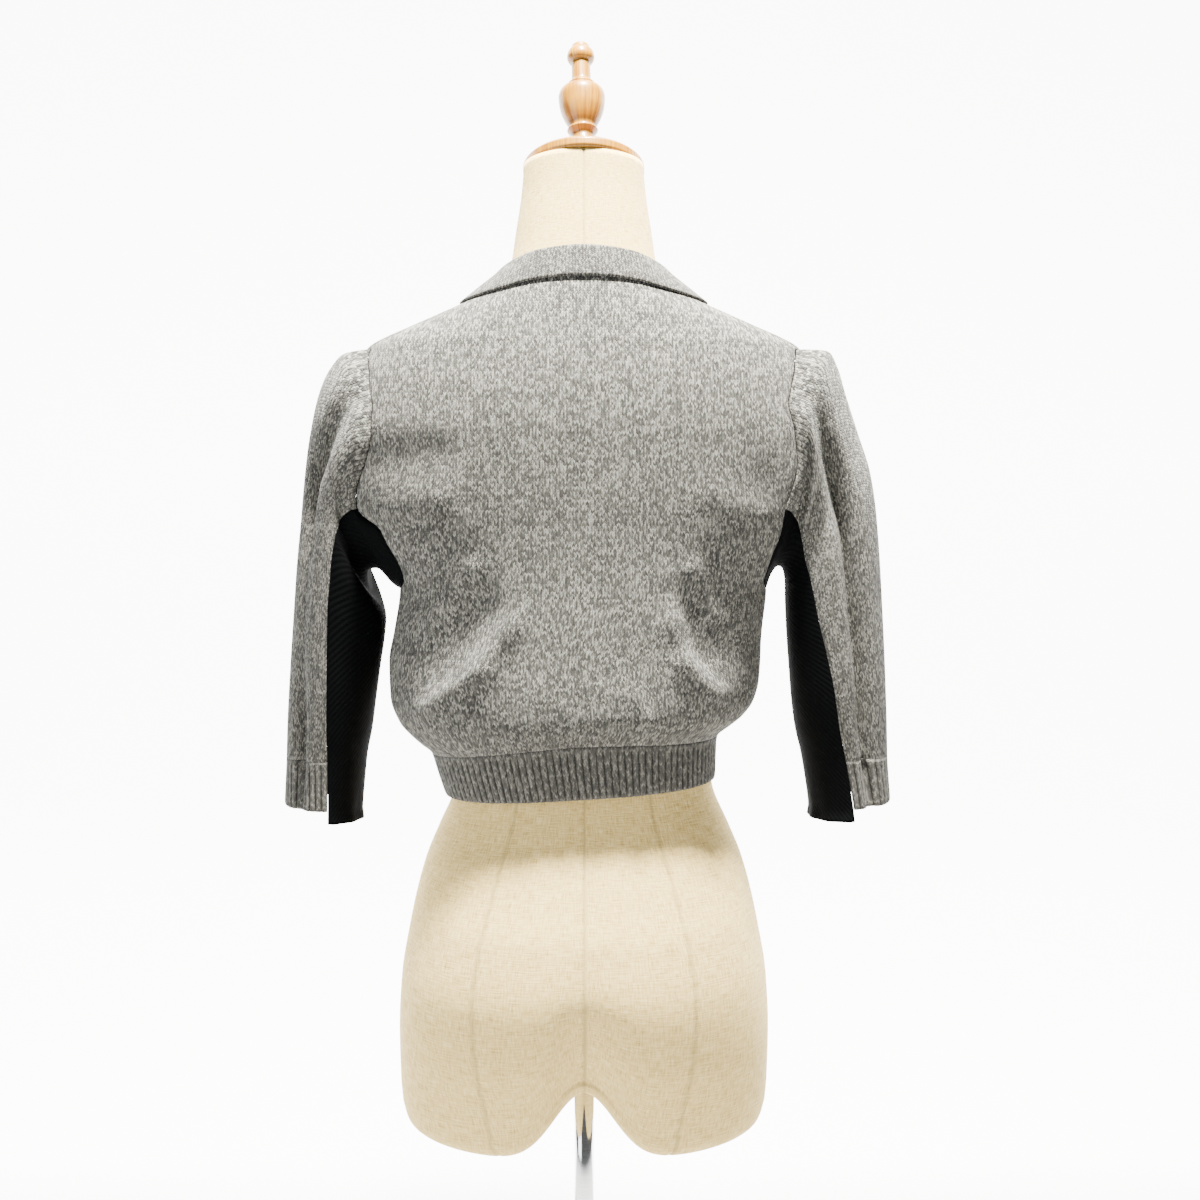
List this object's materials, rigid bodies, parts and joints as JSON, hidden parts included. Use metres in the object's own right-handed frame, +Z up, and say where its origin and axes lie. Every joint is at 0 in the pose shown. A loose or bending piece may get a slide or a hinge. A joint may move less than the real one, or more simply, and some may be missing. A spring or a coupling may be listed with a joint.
{
  "type": "knit jacket on dress form",
  "caption": "Cropped knit jacket with ribbed waist, cuffs and fold-over collar, worn by a limbless dress form on a pole with a round base.",
  "frame": {"origin": "centre of the round base's underside, on the floor", "axes": "+Z up; -Y towards the front of the jacket, +Y towards its back; +X towards the wearer's left"},
  "size_m": [0.5514, 0.3, 1.2725],
  "materials": {
    "grey_knit": "fine grey marl knit with fuzz",
    "grey_rib": "ribbed grey marl knit",
    "black_jersey": "matte fine-ribbed black jersey",
    "linen": "cream slubby linen",
    "wood": "glossy honey varnish",
    "steel": "polished"
  },
  "bodies": {
    "root": {"back": "grey_knit", "front_left": "grey_knit", "front_right": "grey_knit", "sleeve_top_left": "grey_knit", "sleeve_top_right": "grey_knit", "sleeve_under_left": "black_jersey", "sleeve_under_right": "black_jersey", "cuff_left": "grey_rib", "cuff_right": "grey_rib", "hem_rib_back": "grey_rib", "hem_rib_front_left": "grey_rib", "hem_rib_front_right": "grey_rib", "collar": "grey_rib", "form_body": "linen", "neck_cap": "wood", "finial": "wood", "pole": "steel", "base": "steel"}
  },
  "joints": []
}
